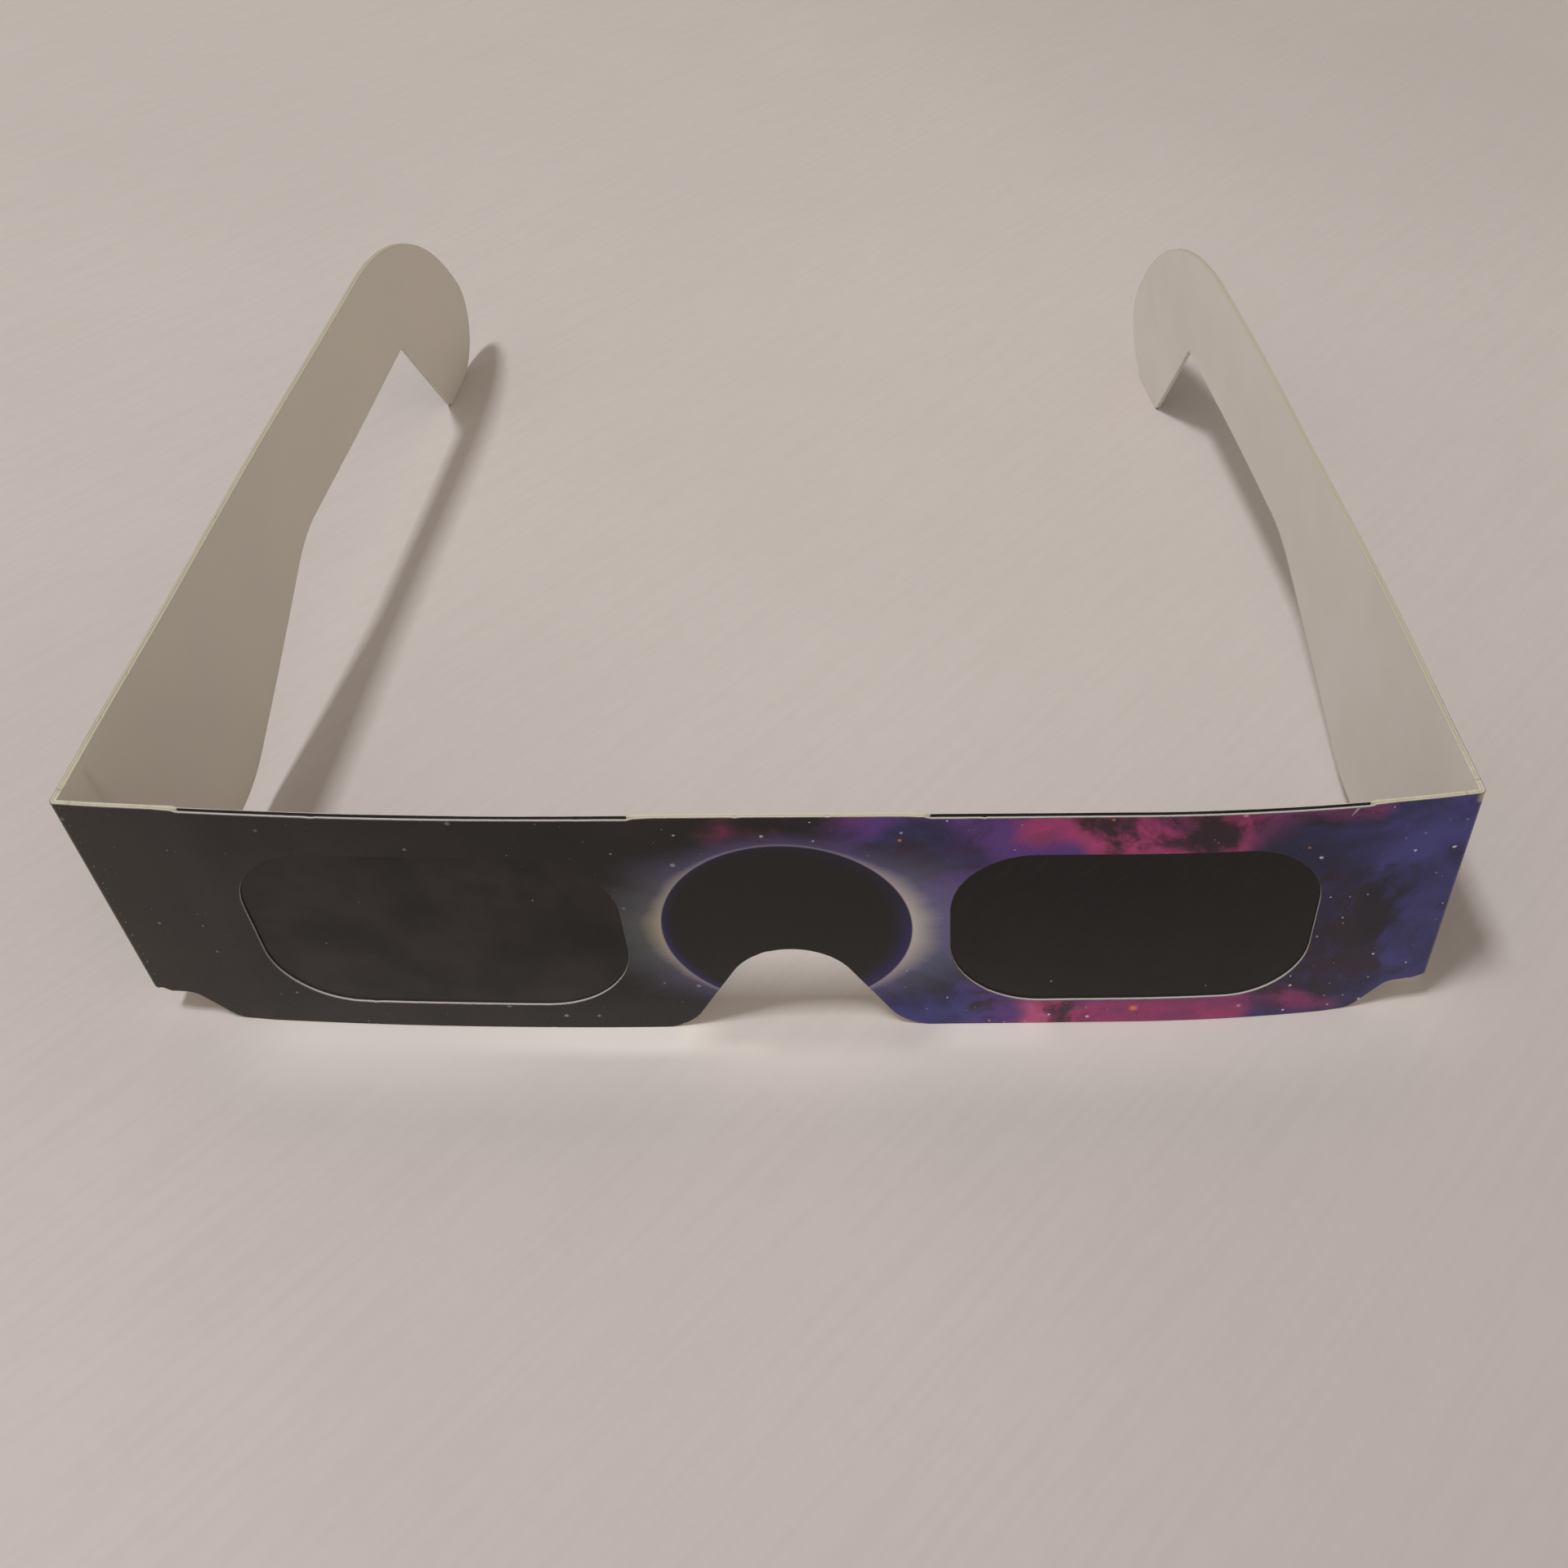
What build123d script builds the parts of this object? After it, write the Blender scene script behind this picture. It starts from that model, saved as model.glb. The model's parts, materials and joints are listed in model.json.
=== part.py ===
from build123d import *
from math import asin, cos, degrees, radians, sin, sqrt, tan
import os

# Paper eclipse glasses, unfolded and standing on the lower edges of the panel and of the ear hooks.
# Two plies of printed card are glued together, with a dark filter film between them behind each
# window. The panel bends back at a scored fold at each end into a temple with an ear hook.
# Lengths are in millimetres and angles in degrees. X runs to the right as the printed face is
# seen, Y runs back along the temples and Z is up. Left and right are as the printed face is seen.

# The sheets that are glued together
CARD = 0.30                     # one ply of card
FILM = 0.18                     # the filter film, and the glue line that fills the same gap

# The panel, whose inner face starts and ends at the folds
PANEL_WIDTH = 140.0             # from fold to fold
PANEL_HEIGHT = 34.5
PANEL_BULGE = 2.55              # how far the middle stands in front of the folds
LEFT_FLAT = 15.0                # the panel is flat this far to the left of the middle
RIGHT_FLAT = 36.0               # and this far to its right, and curls back beyond
CORNER_RISE = 4.4               # the outer lower corners are this far above the lower edge
STEP_TOP = 3.9                  # from the fold to the top of the step that leads down from there
STEP_FOOT = 7.7                 # and to its foot
STEP_TOP_RADIUS = 2.2
STEP_FOOT_RADIUS = 3.0

# The notch for the nose
NOSE_HEIGHT = 13.7
NOSE_RADIUS = 7.2               # the arch at its top
NOSE_FLANK_ANGLE = 29.6         # of its sides, from the vertical
NOSE_FOOT_RADIUS = 5.0

# One window, mirrored for the other eye
WINDOW_INSET = 17.1             # from the middle of the panel to the window's near end
WINDOW_WIDTH = 38.8
WINDOW_SILL = 4.2               # from the panel's lower edge to the window
WINDOW_BROW = 5.8               # from the window to the panel's upper edge
WINDOW_NOSE_SHARE = 0.408       # radius of the lower corner next to the nose, as a share of its height
WINDOW_CHEEK_SHARE = 0.351      # and of the lower corner next to the fold
WINDOW_UPPER_SHARE = 0.359      # and of both upper corners

# A film reaches the panel's upper edge and laps over the card round its window
FILM_SIDE_LAP = 2.4
FILM_LOWER_LAP = 2.6
LEFT_FILM_SHIFT = 0.25          # how far each film lies to the right of its window's middle
RIGHT_FILM_SHIFT = 0.45

# The temples, which share one outline
TEMPLE_REACH = 135.0            # from the fold to the back of the hook
ARM_DEPTH = 16.2                # depth of the narrow stretch in the middle
FLARE_START = 31.0              # the deep end at the fold narrows from here,
FLARE_END = 62.5                # to here
FLARE_RADIUS = 20.0
HOOK_RADIUS = 42.0              # the long curve over the back of the hook
HOOK_TURN_ANGLE = 60.0          # it turns this far before the tighter curve of the heel
HOOK_TOE = 15.7                 # from the back of the hook forward to its tip
HOOK_TOE_RADIUS = 1.5
EAR_NOTCH = 27.8                # from the back of the hook to the corner over the ear
EAR_NOTCH_RADIUS = 0.8
LEFT_LEAN_ANGLE = 3.7           # each temple leans this far towards the middle, as it stands
RIGHT_LEAN_ANGLE = 9.2
LEFT_BOW = 0.3                  # how far each temple bows outwards at mid-length
RIGHT_BOW = 1.35

# The folds, where both plies are scored so that the card bends in a narrow strip
FOLD_HALF_WIDTH = 0.25

# Sizes that follow from those above
HALF_WIDTH = PANEL_WIDTH / 2
LAMINATE = CARD + FILM + CARD
INNER_PLY = (0, CARD)                       # depths, outwards from the inner face
MIDDLE_PLY = (CARD, CARD + FILM)
OUTER_PLY = (CARD + FILM, LAMINATE)
OVERRUN = 2 * LAMINATE                      # how far a cutting outline passes the sheet
CUT_DEPTH = PANEL_WIDTH                     # how far a cutting outline reaches each way
QUARTER_TURN = 90


def curl(flat):
    """Radius and angle of the arc from the flat middle of the panel's inner face to a fold."""
    run = HALF_WIDTH - flat
    radius = (run ** 2 + PANEL_BULGE ** 2) / (2 * PANEL_BULGE)
    return radius, degrees(asin(run / radius))


def bow(sagitta):
    """Radius of a temple's inner face, and the angle from its middle to either end."""
    radius = (TEMPLE_REACH ** 2 + 4 * sagitta ** 2) / (8 * sagitta)
    return radius, degrees(asin(TEMPLE_REACH / 2 / radius))


def arc_angle(length, radius):
    return degrees(length / radius)


def ring_piece(centre, radius, start, sweep, ply):
    """Plan view of a ply that bends round a centre."""
    near, far = (CenterArc(centre, radius + depth, start, sweep) for depth in ply)
    return make_face([near, Line(near @ 1, far @ 1), far, Line(far @ 0, near @ 0)])


def upright(plan, low, high):
    """The solid over a plan view between two heights."""
    return Pos(0, 0, low) * extrude(plan, high - low, dir=(0, 0, 1))


def through(outline):
    """The solid in front of and behind an outline that is drawn as seen from the front."""
    return extrude(Plane.XZ * outline, CUT_DEPTH, both=True)


LEFT_CURL_RADIUS, LEFT_CURL = curl(LEFT_FLAT)
RIGHT_CURL_RADIUS, RIGHT_CURL = curl(RIGHT_FLAT)
LEFT_CURL_CENTRE = (-LEFT_FLAT, LEFT_CURL_RADIUS - PANEL_BULGE)
RIGHT_CURL_CENTRE = (RIGHT_FLAT, RIGHT_CURL_RADIUS - PANEL_BULGE)


def panel_plan(ply):
    """Plan view of one ply of the panel, up to the scored strips at the folds."""
    front, back = (-PANEL_BULGE - depth for depth in reversed(ply))
    middle = make_face(Polyline(
        (-LEFT_FLAT, front), (RIGHT_FLAT, front), (RIGHT_FLAT, back), (-LEFT_FLAT, back), close=True))
    left_sweep = LEFT_CURL - arc_angle(FOLD_HALF_WIDTH, LEFT_CURL_RADIUS)
    right_sweep = RIGHT_CURL - arc_angle(FOLD_HALF_WIDTH, RIGHT_CURL_RADIUS)
    left = ring_piece(LEFT_CURL_CENTRE, LEFT_CURL_RADIUS, -QUARTER_TURN - left_sweep, left_sweep, ply)
    right = ring_piece(RIGHT_CURL_CENTRE, RIGHT_CURL_RADIUS, -QUARTER_TURN, right_sweep, ply)
    return left + middle + right


def panel_outline():
    """The die-cut outline of the panel, which passes the folds at both ends."""
    flank = radians(NOSE_FLANK_ANGLE)
    notch_apex = NOSE_HEIGHT + NOSE_RADIUS * (1 / sin(flank) - 1)
    notch_foot = notch_apex * tan(flank)
    end = HALF_WIDTH + OVERRUN
    right = [
        ((end, CORNER_RISE), 0),
        ((HALF_WIDTH - STEP_TOP, CORNER_RISE), STEP_TOP_RADIUS),
        ((HALF_WIDTH - STEP_FOOT, 0), STEP_FOOT_RADIUS),
        ((notch_foot, 0), NOSE_FOOT_RADIUS),
    ]
    left = [((-x, z), radius) for (x, z), radius in reversed(right)]
    corners = right + [((0, notch_apex), NOSE_RADIUS)] + left
    lower = FilletPolyline(*(point for point, _ in corners), radius=[r for _, r in corners[1:-1]])
    top = Polyline(lower @ 1, (-end, PANEL_HEIGHT), (end, PANEL_HEIGHT), lower @ 0)
    return make_face([lower, top])


def window_outline():
    near, far = WINDOW_INSET, WINDOW_INSET + WINDOW_WIDTH
    low, high = WINDOW_SILL, PANEL_HEIGHT - WINDOW_BROW
    shares = (WINDOW_NOSE_SHARE, WINDOW_CHEEK_SHARE, WINDOW_UPPER_SHARE, WINDOW_UPPER_SHARE)
    return make_face(FilletPolyline(
        (near, low), (far, low), (far, high), (near, high),
        radius=[share * (high - low) for share in shares], close=True))


def film_outline(side, shift):
    """The rectangle of film behind the window on one side, which is -1 or 1."""
    middle = side * (WINDOW_INSET + WINDOW_WIDTH / 2) + shift
    half = WINDOW_WIDTH / 2 + FILM_SIDE_LAP
    low = WINDOW_SILL - FILM_LOWER_LAP
    return make_face(Polyline(
        (middle - half, low), (middle + half, low), (middle + half, PANEL_HEIGHT),
        (middle - half, PANEL_HEIGHT), close=True))


def temple_outline():
    """The die-cut outline of a temple, with the fold at x = 0 and the hook behind."""
    turn = radians(HOOK_TURN_ANGLE)
    heel_radius = (PANEL_HEIGHT - HOOK_RADIUS * (1 - cos(turn))) / (1 + cos(turn))
    hook_start = TEMPLE_REACH - HOOK_RADIUS * sin(turn) - heel_radius * (1 - sin(turn))
    arm = PANEL_HEIGHT - ARM_DEPTH
    top = Line((-OVERRUN, PANEL_HEIGHT), (hook_start, PANEL_HEIGHT))
    crown = JernArc(top @ 1, (1, 0), HOOK_RADIUS, -HOOK_TURN_ANGLE)
    heel = JernArc(crown @ 1, crown % 1, heel_radius, HOOK_TURN_ANGLE - 2 * QUARTER_TURN)
    lower = FilletPolyline(
        heel @ 1, (TEMPLE_REACH - HOOK_TOE, 0), (TEMPLE_REACH - EAR_NOTCH, arm), (FLARE_END, arm),
        (FLARE_START, CORNER_RISE), (-OVERRUN, CORNER_RISE),
        radius=[HOOK_TOE_RADIUS, EAR_NOTCH_RADIUS, FLARE_RADIUS, FLARE_RADIUS])
    return make_face([top, crown, heel, lower, Line(lower @ 1, top @ 0)])


def temple_sheet(ply, sagitta):
    """One ply of a temple that runs along +X from the fold and has its outer face towards +Y."""
    radius, half_angle = bow(sagitta)
    start = QUARTER_TURN + half_angle - arc_angle(FOLD_HALF_WIDTH, radius)
    sweep = -2 * half_angle - arc_angle(OVERRUN, radius)
    plan = ring_piece((TEMPLE_REACH / 2, sagitta - radius), radius, start, sweep, ply)
    return upright(plan, 0, PANEL_HEIGHT) & through(temple_outline())


def stand_temple(shape, side, lean_angle):
    """Moves a temple from its own axes to its fold, side -1 or 1, leaning in as it stands."""
    lean = radians(lean_angle)
    fold = Plane(origin=(side * HALF_WIDTH, 0, 0), x_dir=(-side * sin(lean), cos(lean), 0), z_dir=(0, 0, 1))
    own_side = shape if side < 0 else mirror(shape, about=Plane.XZ)
    return fold.location * own_side


def fold_strip(ply, side, lean_angle, sagitta):
    """One ply of the scored strip: a band of the panel, a wedge round the fold, a band of the temple.

    It is made for the left fold, with the right one mirrored.
    """
    flat = LEFT_FLAT if side < 0 else RIGHT_FLAT
    curl_radius, curl_sweep = curl(flat)
    bow_radius, bow_half = bow(sagitta)
    panel_normal = -QUARTER_TURN - curl_sweep           # directions out of the inner faces at the fold
    temple_normal = -2 * QUARTER_TURN - lean_angle + bow_half
    fold = (-HALF_WIDTH, 0)
    panel_band = ring_piece(
        (-flat, curl_radius - PANEL_BULGE), curl_radius, panel_normal,
        arc_angle(FOLD_HALF_WIDTH, curl_radius), ply)
    temple_centre = Vector(fold) - Vector(bow_radius, 0).rotate(Axis.Z, temple_normal)
    temple_band = ring_piece(
        temple_centre, bow_radius, temple_normal, -arc_angle(FOLD_HALF_WIDTH, bow_radius), ply)
    near, far = ply
    rim = CenterArc(fold, far, temple_normal, panel_normal - temple_normal)
    if near > 0:
        wedge = ring_piece(fold, 0, temple_normal, panel_normal - temple_normal, ply)
    else:
        wedge = make_face([rim, Line(rim @ 1, fold), Line(fold, rim @ 0)])
    strip = upright(panel_band + wedge + temple_band, CORNER_RISE, PANEL_HEIGHT)
    return strip if side < 0 else mirror(strip, about=Plane.YZ)


def build():
    """Every piece of the glasses, by name."""
    window = through(window_outline())
    windows = window + mirror(window, about=Plane.YZ)
    left_film = through(film_outline(-1, LEFT_FILM_SHIFT))
    right_film = through(film_outline(1, RIGHT_FILM_SHIFT))
    panel = through(panel_outline())

    def panel_sheet(ply, outline):
        return upright(panel_plan(ply), 0, PANEL_HEIGHT) & outline

    pieces = {
        "front_outer_card": panel_sheet(OUTER_PLY, panel - windows),
        "front_inner_card": panel_sheet(INNER_PLY, panel - windows),
        "front_glue_layer": panel_sheet(MIDDLE_PLY, panel - left_film - right_film),
        "left_filter_film": panel_sheet(MIDDLE_PLY, left_film),
        "right_filter_film": panel_sheet(MIDDLE_PLY, right_film),
    }
    for name, side, lean_angle, sagitta in (
            ("left", -1, LEFT_LEAN_ANGLE, LEFT_BOW), ("right", 1, RIGHT_LEAN_ANGLE, RIGHT_BOW)):
        for layer, ply in (("outer_card", OUTER_PLY), ("glue_layer", MIDDLE_PLY), ("inner_card", INNER_PLY)):
            pieces[f"{name}_temple_{layer}"] = stand_temple(temple_sheet(ply, sagitta), side, lean_angle)
        pieces[f"{name}_fold_outer_card"] = fold_strip(OUTER_PLY, side, lean_angle, sagitta)
        pieces[f"{name}_fold_inner_card"] = fold_strip(INNER_PLY, side, lean_angle, sagitta)
    return pieces


def main():
    os.makedirs("parts", exist_ok=True)
    pieces = build()
    # The origin is on the table, in the middle of the box that holds the whole object
    box = Compound(list(pieces.values())).bounding_box()
    to_origin = Pos(-box.center().X, -box.center().Y, 0)
    for name, shape in pieces.items():
        export_step(to_origin * shape, f"parts/{name}.step")
    print("folds at x", -HALF_WIDTH - box.center().X, HALF_WIDTH - box.center().X, "y", -box.center().Y)


main()
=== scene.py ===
import json
import math

import bmesh
import bpy
import numpy as np
from mathutils import Matrix, Vector, noise
from mathutils.geometry import delaunay_2d_cdt


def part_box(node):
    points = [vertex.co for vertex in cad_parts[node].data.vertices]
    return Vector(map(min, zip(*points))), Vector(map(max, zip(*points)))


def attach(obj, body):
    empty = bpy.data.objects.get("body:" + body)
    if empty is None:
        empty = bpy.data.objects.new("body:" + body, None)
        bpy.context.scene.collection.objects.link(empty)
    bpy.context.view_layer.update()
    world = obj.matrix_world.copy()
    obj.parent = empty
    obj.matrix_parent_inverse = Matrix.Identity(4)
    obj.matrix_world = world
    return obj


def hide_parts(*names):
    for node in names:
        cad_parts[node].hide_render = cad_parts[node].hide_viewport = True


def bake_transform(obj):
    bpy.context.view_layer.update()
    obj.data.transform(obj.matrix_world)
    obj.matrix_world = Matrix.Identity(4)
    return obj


# Paper eclipse glasses: two plies of printed card laminated round two dark filter films.
# Every sheet is drawn flat, as it was die-cut, and then bent to its place in the frame.
# Lengths are in millimetres and angles in degrees until a mesh is written, in metres.
# The flat sheet has s along it, from the middle of the panel to the right as the print is seen,
# z up, and depth outwards from the inner face.
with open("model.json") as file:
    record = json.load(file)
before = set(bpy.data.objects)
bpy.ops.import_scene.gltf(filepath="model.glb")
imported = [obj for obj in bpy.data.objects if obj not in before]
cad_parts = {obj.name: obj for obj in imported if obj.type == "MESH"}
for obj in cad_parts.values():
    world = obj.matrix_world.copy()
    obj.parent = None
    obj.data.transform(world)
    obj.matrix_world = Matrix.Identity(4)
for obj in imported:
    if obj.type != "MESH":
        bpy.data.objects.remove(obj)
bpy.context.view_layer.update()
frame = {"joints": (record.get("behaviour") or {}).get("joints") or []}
MM = 0.001
TOLERANCE = 1e-6        # for places on the flat sheet
SEAM_TOLERANCE = 1e-3

# Sizes that the frame gives
hinges = {joint["child"]: joint for joint in frame["joints"]}
HALF_WIDTH = hinges["right_temple"]["pos_m"][0] / MM        # from the middle to a fold
FOLD_Y = hinges["right_temple"]["pos_m"][1] / MM
PANEL_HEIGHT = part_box("front_outer_card")[1].z / MM
CORNER_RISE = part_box("left_fold_outer_card")[0].z / MM

# The layers
CARD = 0.30
FILM = 0.18
LAMINATE = CARD + FILM + CARD
INNER_PLY = (0.0, CARD)
MIDDLE_PLY = (CARD, CARD + FILM)
OUTER_PLY = (CARD + FILM, LAMINATE)
GLUE_LINE = 0.03        # what is left between the plies where they are pressed together
FILM_GAP = 0.15         # and where a film lies between them
FILM_STANDS = 0.22      # how far the cut top of the card stays below a film's edge
TOP_EASE = 0.6          # along the sheet, from a film's end to the card's full height
PRESS_EASE = 3.0        # and to where the plies lie close
FILM_SPAN = (14.8, 58.2)    # between these distances from the middle a film shows at the top edge

# The panel's curve and outline
PANEL_BULGE = 2.55
LEFT_FLAT = 15.0
RIGHT_FLAT = 36.0
STEP_TOP = 3.9
STEP_FOOT = 7.7
STEP_TOP_RADIUS = 2.2
STEP_FOOT_RADIUS = 3.0
NOSE_HEIGHT = 13.7
NOSE_RADIUS = 7.2
NOSE_FLANK_ANGLE = 29.6
NOSE_FOOT_RADIUS = 5.0
WINDOW_INSET = 17.1
WINDOW_WIDTH = 38.8
WINDOW_SILL = 4.2
WINDOW_BROW = 5.8
WINDOW_NOSE_RADIUS = 10.0
WINDOW_CHEEK_RADIUS = 8.6
WINDOW_UPPER_RADIUS = 8.8

# The temples
TEMPLE_REACH = 135.0
ARM_DEPTH = 16.2
FLARE_START = 31.0
FLARE_END = 62.5
FLARE_RADIUS = 20.0
HOOK_RADIUS = 42.0
HOOK_TURN_ANGLE = 60.0
HOOK_TOE = 15.7
HOOK_TOE_RADIUS = 1.5
EAR_NOTCH = 27.8
EAR_NOTCH_RADIUS = 0.8
LEAN_ANGLE = {"left": 3.7, "right": 9.2}
BOW = {"left": 0.3, "right": 1.35}
SIDE = {"left": -1, "right": 1}

# How the sheets are meshed
SEAM = 1.4              # each fold strip reaches this far from the fold, on both sides
EDGE_STEP = 0.35        # spacing of points along a die-cut edge
BAND = 0.45             # a second row of points lies this far inside each edge
GRID = 1.3              # spacing of points inside a sheet
ARC_STEP = 4.0          # degrees
WEDGE_STEPS = 12        # faces round the outside of a fold
CARD_BEVEL = 0.04       # how far the cut edges of each layer are rounded
FILM_BEVEL = 0.015
GLUE_BEVEL = 0.004
INK_LIP = 0.07          # how much of the outer ply's cut edge the ink reaches
FOLD_CLIP = 0.5         # how far the lower end of a fold is cut back
CLIP_TAIL_SHARE = 0.7   # of the strip behind the fold, over which that cut ends
FOLD_CORE = 0.02        # smallest radius at the inside of a fold
SEAM_STEPS = 4          # divisions between a seam and its fold
STRIP_ROWS = 60
BAND_CLEAR_SHARE = 0.7  # of the band, and of the grid, that points keep from an edge
GRID_CLEAR_SHARE = 0.4
EDGE_REACH = 5.0        # the farthest distance from a cut edge that a mesh records
BATCH = 2000            # points whose distances are worked out together
MERGE = 1e-7            # metres
CRISP_ANGLE = 30.0

# How uneven the sheets and their cut edges are
FIBRE_WEAR = 0.014
SLOW_WEAR = 0.02
WEAR_LIMIT = 0.1
PANEL_WAVE = 0.05
TEMPLE_WAVE = 0.16
FILM_WAVE = 0.03
WAVE_EASE = 12.0        # over which a wave dies out beside a seam
FILM_SEED = 30.0
TEMPLE_SEED = 50.0

# Marks on the flat sheet
DISC_CENTRE = (0.0, 17.2)
DISC_RADIUS = 13.1
DISC_EDGE = 0.12
DENT_SHADE = ((-5.4, 32.9), (-6.0, 27.4))         # a dent, drawn as a line of painted shade, from the left fold
SCRATCH = ((57.0, 33.2), (57.5, 34.2))
YELLOWED = 33.6         # above this the right fold is worn yellowish
STAR_LAYERS = ((0.45, 0.25, 0.19, 3.0), (0.2, 0.4, 0.3, 60.0), (0.1, 0.4, 0.5, 90.0))
HALO_LAYER = (0.05, 0.5, 1.1, 140.0)        # scale, share, size and seed, as for the stars
CORNER_END = 71.5       # along the sheet from the middle, where a temple's cut edge starts to grey
ARM_START = 80.0        # and where its ink and, with painted light, its lower edge start to pale
ARM_PALE = 90.0
WORN_ABOVE = 0.83
RUBBED_ABOVE = 0.78

# The camera stands in front of and above the panel
CAMERA_PLACE = (16.485, FOLD_Y - 113.634, 155.368)
CAMERA_YAW = 2.447
CAMERA_PITCH = 46.45
CAMERA_ROLL = -1.348
SENSOR_WIDTH = 36.0
IMAGE_WIDTH = 1919
FOCAL_PIXELS = 2050
PRINCIPAL_OFFSET = 255.8        # pixels to the right of the picture's middle
CLIP_START = 0.01               # metres, as all lengths below
CLIP_END = 20.0

# The table and the light
TABLE_REACH = 3.0
WIDE_BAND = (0.014, 0.002)      # the thrown light ends and is full this far before the panel
NARROW_BAND = (0.0055, 0.0026)
NOSE_GAP = 0.002                # x of the gap in it, and of its second streak
RIGHT_STREAK = 0.022
KEY_SHIFT = (0.27, 0.22)        # a shadow's reach to the right and to the back, for each unit of height
KEY_AWAY = 1.6
KEY_SIZE = (0.154, 0.265)
KEY_STRENGTH = 1.8              # of the light on a floor square to it
KEY_COLOUR = (0.93, 0.96, 1.0)
ROOM_COLOUR = (1.0, 0.93, 0.83, 1.0)
WALL = (196, 187, 179)          # where the room itself is seen
AMBIENT = 0.5
AMBIENT_FRONT = 1.3             # shares of the ambient light from the front and from the back
AMBIENT_BACK = 0.7


class Curl:
    """The curve of the panel's inner face from its flat middle to one fold."""

    def __init__(self, side, flat):
        run = HALF_WIDTH - flat
        self.side = side
        self.flat = flat
        self.radius = (run ** 2 + PANEL_BULGE ** 2) / (2 * PANEL_BULGE)
        self.turn = math.asin(run / self.radius)
        self.length = flat + self.radius * self.turn

    def along(self, x, depth):
        """How far along the sheet a point of this half lies that stands at x as seen from the front."""
        beyond = max(0.0, abs(x) - self.flat)
        return self.side * (min(abs(x), self.flat) + self.radius * math.asin(beyond / (self.radius + depth)))


CURLS = {"left": Curl(-1, LEFT_FLAT), "right": Curl(1, RIGHT_FLAT)}
PANEL_SEAMS = (-CURLS["left"].length + SEAM, CURLS["right"].length - SEAM)


def panel_place(s, z, depth):
    """Places points of the panel. s, z and depth are arrays."""
    x = s.copy()
    y = -PANEL_BULGE - depth
    for curl in CURLS.values():
        past = np.where(curl.side * s > curl.flat)
        angle = (curl.side * s[past] - curl.flat) / curl.radius
        reach = curl.radius + depth[past]
        x[past] = curl.side * (curl.flat + reach * np.sin(angle))
        y[past] = curl.radius - PANEL_BULGE - reach * np.cos(angle)
    return np.stack([x, y + FOLD_Y, z], 1)


class Temple:
    """One temple's inner face: an arc that starts at the fold and leans towards the middle."""

    def __init__(self, name):
        self.side = SIDE[name]
        sagitta = BOW[name]
        self.radius = (TEMPLE_REACH ** 2 + 4 * sagitta ** 2) / (8 * sagitta)
        self.half_turn = math.asin(TEMPLE_REACH / 2 / self.radius)
        self.centre_out = sagitta - self.radius
        self.length = 2 * self.half_turn * self.radius
        lean = math.radians(LEAN_ANGLE[name])
        self.back = np.array([-self.side * math.sin(lean), math.cos(lean)])
        self.out = np.array([self.side * math.cos(lean), math.sin(lean)])
        self.fold = np.array([self.side * HALF_WIDTH, FOLD_Y])
        self.fold_s = CURLS[name].length

    def place(self, s, z, depth):
        """Places points of the temple. s runs on along the flat sheet, past the fold."""
        angle = (self.side * s - self.fold_s) / self.radius - self.half_turn
        reach = self.radius + depth
        back = TEMPLE_REACH / 2 + reach * np.sin(angle)
        out = self.centre_out + reach * np.cos(angle)
        plan = self.fold + back[:, None] * self.back + out[:, None] * self.out
        return np.column_stack([plan, z])

    def normal_angle(self):
        """Direction out of the inner face at the fold."""
        tilt = -self.half_turn
        out = self.out * math.cos(tilt) + self.back * math.sin(tilt)
        return math.atan2(out[1], out[0])


TEMPLES = {name: Temple(name) for name in SIDE}


def eased(share):
    """A smooth step from 0 to 1. share is an array."""
    share = np.clip(share, 0, 1)
    return share * share * (3 - 2 * share)


def turned(centre, radius, start, sweep):
    """Points of an arc, both ends included."""
    steps = max(2, math.ceil(abs(sweep) / ARC_STEP))
    angles = [math.radians(start + sweep * i / steps) for i in range(steps + 1)]
    return [(centre[0] + radius * math.cos(a), centre[1] + radius * math.sin(a)) for a in angles]


def rounded(corners, closed):
    """An outline through ((x, z), radius) corners, with an arc in each that has a radius."""
    points = []
    last = len(corners) - 1
    for i, (corner, radius) in enumerate(corners):
        here = Vector(corner)
        if not radius or (not closed and i in (0, last)):
            points.append(tuple(here))
            continue
        before = (Vector(corners[i - 1][0]) - here).normalized()
        after = (Vector(corners[(i + 1) % len(corners)][0]) - here).normalized()
        half = before.angle(after) / 2
        centre = here + (before + after).normalized() * (radius / math.sin(half))
        first = here + before * (radius / math.tan(half)) - centre
        second = here + after * (radius / math.tan(half)) - centre
        start = math.degrees(math.atan2(first.y, first.x))
        sweep = math.degrees(math.atan2(first.x * second.y - first.y * second.x, first.dot(second)))
        points += turned(centre, radius, start, sweep)
    return points


def divided(points, closed=True):
    """The same outline with its long straight stretches divided."""
    made = []
    pairs = zip(points, points[1:] + points[:1] if closed else points[1:])
    for a, b in pairs:
        parts = max(1, round(math.dist(a, b) / EDGE_STEP))
        made += [(a[0] + (b[0] - a[0]) * i / parts, a[1] + (b[1] - a[1]) * i / parts) for i in range(parts)]
    return made if closed else made + [points[-1]]


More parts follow.
